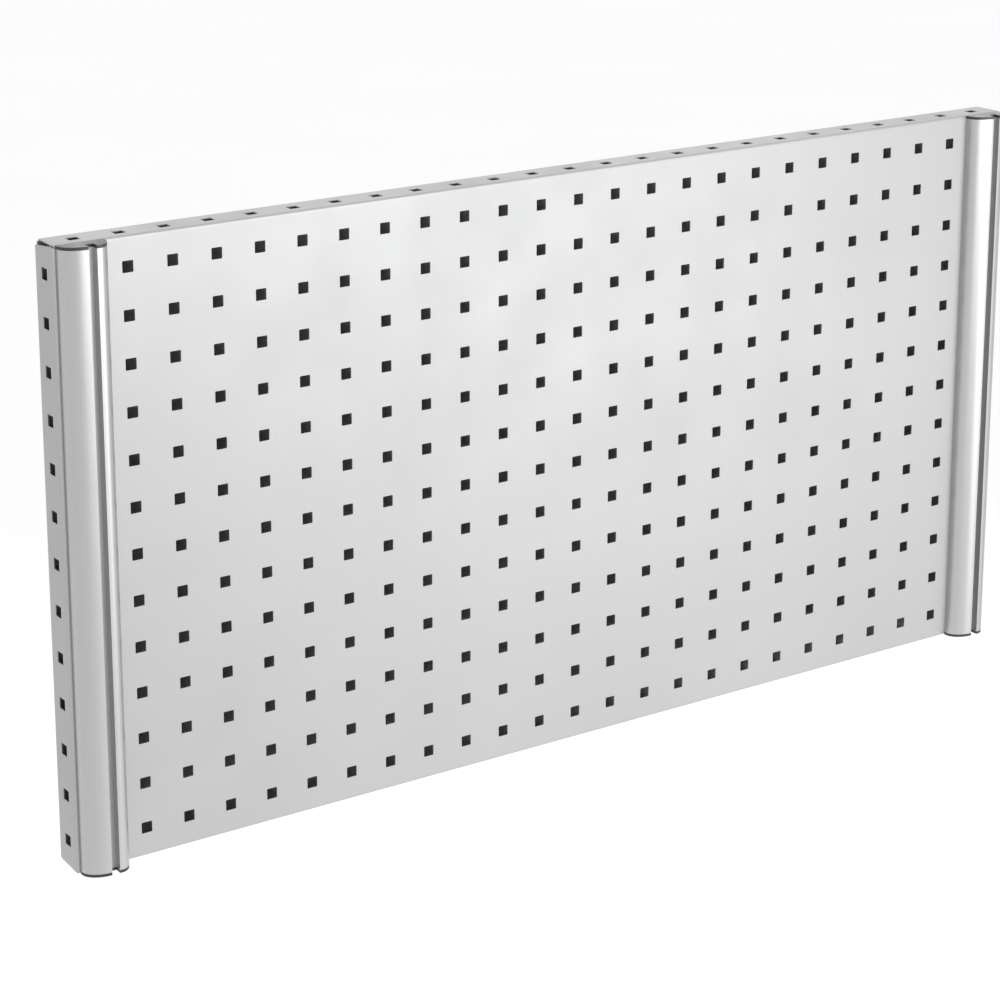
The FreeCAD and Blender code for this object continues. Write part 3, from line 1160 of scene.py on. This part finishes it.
@dataclass
class Fasteners:
    """Bolts, washers, nuts and screws, all zinc plated.

    The rim of a screw's head is given as radii and depths below the head's face.
    """

    finish: bpy.types.Material
    head_long: float = 12.4 * MM
    head_wide: float = 8.0 * MM
    head_thick: float = 4.0 * MM
    head_corner: float = 0.8 * MM
    bolt_chamfer: float = 0.6 * MM
    thread_gap: float = 0.04 * MM
    washer_radius: float = 6.0 * MM
    washer_bore: float = 3.2 * MM
    edge: float = 0.2 * MM
    washer_points: int = 40
    rail_nut_flats: float = 10.0 * MM
    weld_nut_flats: float = 13.0 * MM
    screw_seat: float = 1.5 * MM
    screw_rim: tuple[Flat, ...] = ((2.88 * MM, 0.12 * MM), (2.97 * MM, 0.04 * MM), (2.93 * MM, 0.0))
    recess: float = 1.2 * MM
    recess_edge: float = 0.08 * MM
    recess_depth: float = 1.0 * MM
    recess_points: int = 24
    clinch_radius: float = 3.1 * MM
    clinch_spigot: float = 2.1 * MM
    clinch_reach: float = 1.5 * MM
    clinch_edge: float = 0.25 * MM
    clinch_points: int = 32

    def group(self, sketch: Sketch, name: str, node: str) -> None:
        """Makes the piece of one group of fasteners."""
        make_piece(sketch, name, self.finish, node)

    def rail_bolts(self, side: Side) -> None:
        """T-head bolts of one rail.

        Args:
            side: The rail's side.
        """
        node = side.word + "_rail_bolts"
        low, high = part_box(node)
        seat = low.y + self.head_thick
        edge = self.edge
        loop = rounded_rectangle(self.head_long / 2, self.head_wide / 2, self.head_corner)
        slim = rounded_rectangle(self.head_long / 2 - edge, self.head_wide / 2 - edge, self.head_corner)
        sketch = Sketch()
        for place in LAYOUT.bolts(side):
            shank = M6.shank(place, seat, high.y, self.bolt_chamfer, 1)
            rings = [upright(place, slim, low.y), upright(place, loop, low.y + edge)]
            rings += [upright(place, loop, seat - edge), upright(place, slim, seat)]
            sketch.strips(rings)
            sketch.face(rings[0])
            sketch.cover([rings[-1], shank[0]])
            sketch.strips(shank)
            sketch.face(shank[-1])
        self.group(sketch, side.word + "_tee_bolts", node)

    def rail_washers(self, side: Side) -> None:
        """Plain washers of one rail's bolts.

        Args:
            side: The rail's side.
        """
        node = side.word + "_rail_washers"
        low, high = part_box(node)
        edge = self.edge
        profile = ((low.y, 1), (low.y + edge, 0), (high.y - edge, 0), (high.y, 1))
        sketch = Sketch()
        for place in LAYOUT.bolts(side):
            outer = []
            inner = []
            for y, cut in profile:
                outside = circle(self.washer_radius - cut * edge, self.washer_points)
                inside = circle(self.washer_bore + cut * edge / 2, self.washer_points)
                outer.append(upright(place, outside, y))
                inner.append(upright(place, inside, y))
            sketch.bored_stack(outer, inner)
        self.group(sketch, side.word + "_plain_washers", node)

    def nuts(self, places: Sequence[Flat], nut: HexNut, name: str, node: str) -> None:
        """Hexagon nuts of one kind.

        Args:
            places: Centres of the nuts.
            nut: The kind of nut.
            name: The object's name.
            node: The frame's node that they stand for.
        """
        low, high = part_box(node)
        sketch = Sketch()
        for place in places:
            nut.draw(sketch, place, low.y, high.y)
        self.group(sketch, name, node)

    def rail_nuts(self, side: Side) -> None:
        """Hexagon nuts of one rail's bolts."""
        nut = HexNut(self.rail_nut_flats, M6, self.thread_gap)
        self.nuts(LAYOUT.bolts(side), nut, side.word + "_hexagon_nuts", side.word + "_rail_nuts")

    def mounting_nuts(self) -> None:
        """Weld nuts of the mounting plates."""
        nut = HexNut(self.weld_nut_flats, M8, 0.0)
        self.nuts(LAYOUT.mounts(), nut, "weld_nuts", "mounting_nuts")

    def cover_screws(self) -> None:
        """Countersunk screws of the rear cover, with hexagon sockets."""
        low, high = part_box("cover_screws")
        seat = self.screw_seat
        narrow = self.recess - self.recess_edge
        rim = ((M3.crest, seat),) + self.screw_rim
        recess = ((self.recess, 0.0), (narrow, self.recess_edge), (narrow, self.recess_depth))
        sketch = Sketch()
        for place in LAYOUT.screws():
            body = M3.shank(place, low.y, high.y - seat, self.bolt_chamfer / 2, -1)
            for radius, down in rim:
                body.append(upright(place, circle(radius, M3.around), high.y - down))
            socket = []
            for size, down in recess:
                socket.append(upright(place, hexagon(2 * size, self.recess_points), high.y - down))
            sketch.strips(body)
            sketch.face(body[0])
            sketch.cover([body[-1], socket[0]])
            sketch.strips(socket)
            sketch.face(socket[-1])
        self.group(sketch, "countersunk_screws", "cover_screws")

    def cover_nuts(self) -> None:
        """Clinch nuts in the channels' inner lips."""
        low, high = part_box("cover_nuts")
        shoulder = high.y - self.clinch_reach
        edge = self.clinch_edge
        profile = (
            (low.y, self.clinch_radius - edge),
            (low.y + edge, self.clinch_radius),
            (shoulder, self.clinch_radius),
            (shoulder, self.clinch_spigot),
            (high.y, self.clinch_spigot),
        )
        sketch = Sketch()
        for place in LAYOUT.screws():
            outer = [upright(place, circle(radius, self.clinch_points), y) for y, radius in profile]
            sketch.bored_stack(outer, M3.bore(place, low.y, high.y, edge, self.thread_gap))
        self.group(sketch, "clinch_nuts", "cover_nuts")

    def build(self) -> None:
        """Makes every group."""
        self.mounting_nuts()
        self.cover_screws()
        self.cover_nuts()
        for side in Side:
            self.rail_bolts(side)
            self.rail_washers(side)
            self.rail_nuts(side)


# Studio


@dataclass(frozen=True)
class Daylight:
    """Even white surroundings."""

    strength: float = 0.90
    shade: Point = (1.0, 1.0, 1.0)

    def build(self) -> None:
        """Makes the surroundings and puts the scene in them."""
        world = bpy.data.worlds.new("daylight")
        world.use_nodes = True
        back = world.node_tree.nodes["Background"]
        back.inputs["Color"].default_value = (*self.shade, 1.0)
        back.inputs["Strength"].default_value = self.strength
        bpy.context.scene.world = world


@dataclass(frozen=True)
class SoftBox:
    """Large soft light that faces a target."""

    name: str
    place: Point
    target: Point
    width: float
    height: float
    power: float

    def build(self) -> None:
        """Makes the light."""
        data = bpy.data.lights.new(self.name, "AREA")
        data.shape = "RECTANGLE"
        data.size = self.width
        data.size_y = self.height
        data.energy = self.power
        lamp = bpy.data.objects.new(self.name, data)
        bpy.context.scene.collection.objects.link(lamp)
        lamp.location = self.place
        view = Vector(self.target) - Vector(self.place)
        lamp.rotation_euler = view.to_track_quat("-Z", "Y").to_euler()
        lamp.visible_camera = False


SOFT_BOXES = (
    SoftBox("key_box", (0.25, -1.5, 0.55), (0.15, 0.0, 0.0), width=1.5, height=1.4, power=20.5),
    SoftBox("low_box", (1.3, -1.95, -0.35), (0.1, 0.0, 0.0), width=0.9, height=0.9, power=7.0),
    SoftBox("back_box", (1.4, 2.5, 0.6), (0.4, 0.0, 0.0), width=3.2, height=0.9, power=12.0),
    # Lies below the wall and faces down, so it lights the floor alone.
    SoftBox("floor_box", (0.0, 0.0, -0.4), (0.0, 0.0, -1.0), width=60.0, height=60.0, power=1700.0),
)


@dataclass
class Studio:
    """Floor, lights and camera."""

    floor_drop: float = 1.0
    floor_size: float = 60.0
    floor_tiles: int = 6
    eye: Point = (-1.3617, -1.8918, 0.7305)
    heading: float = 34.53
    tilt: float = -14.72
    lens: float = 102.28
    sensor: float = 36.0
    rise: float = -0.18
    sight: float = 200.0

    def floor(self) -> None:
        """Large pale floor below the wall."""
        sketch = Sketch()
        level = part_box("perforated_panel")[0].z - self.floor_drop
        tile = self.floor_size / self.floor_tiles
        starts = [-self.floor_size / 2 + tile * index for index in range(self.floor_tiles)]
        for x in starts:
            for y in starts:
                corners = ((x, y), (x + tile, y), (x + tile, y + tile), (x, y + tile))
                sketch.face([(*corner, level) for corner in corners])
        ground = bpy.data.objects.new("floor", sketch.mesh("floor"))
        bpy.context.scene.collection.objects.link(ground)
        ground.data.materials.append(StudioFloor().build())

    def camera(self) -> None:
        """Camera at the viewing angle, with a small shift to frame the wall."""
        data = bpy.data.cameras.new("camera")
        data.lens = self.lens
        data.sensor_width = self.sensor
        data.shift_y = self.rise
        data.clip_end = self.sight
        body = bpy.data.objects.new("camera", data)
        bpy.context.scene.collection.objects.link(body)
        body.location = self.eye
        body.rotation_euler = (math.radians(90 + self.tilt), 0.0, -math.radians(self.heading))
        bpy.context.scene.camera = body

    def build(self) -> None:
        """Makes the studio."""
        self.camera()
        self.floor()
        Daylight().build()
        for box in SOFT_BOXES:
            box.build()
        bpy.context.scene.view_settings.view_transform = "Standard"


def main() -> None:
    """Builds the studio and the tool wall."""
    logging.basicConfig(level=logging.INFO, format="%(message)s")
    Studio().build()
    finishes = {
        Slot.STEEL: PowderCoat().build(),
        Slot.ALUMINIUM: Anodising().build(),
        Slot.PLASTIC: MouldedPlastic().build(),
        Slot.ZINC: ZincPlate().build(),
    }
    PerforatedTray(finishes[Slot.STEEL]).build()
    for side in Side:
        GroovedRail(side, finishes[Slot.ALUMINIUM]).build()
        for end in (1, -1):
            EndCap(side, end, finishes[Slot.PLASTIC]).build()
            MountingPlate(side, end, finishes[Slot.ZINC]).build()
        FoldedChannel(side, finishes[Slot.STEEL]).build()
    RearCover(finishes[Slot.STEEL]).build()
    Fasteners(finishes[Slot.ZINC]).build()


if __name__ == "__main__":
    main()
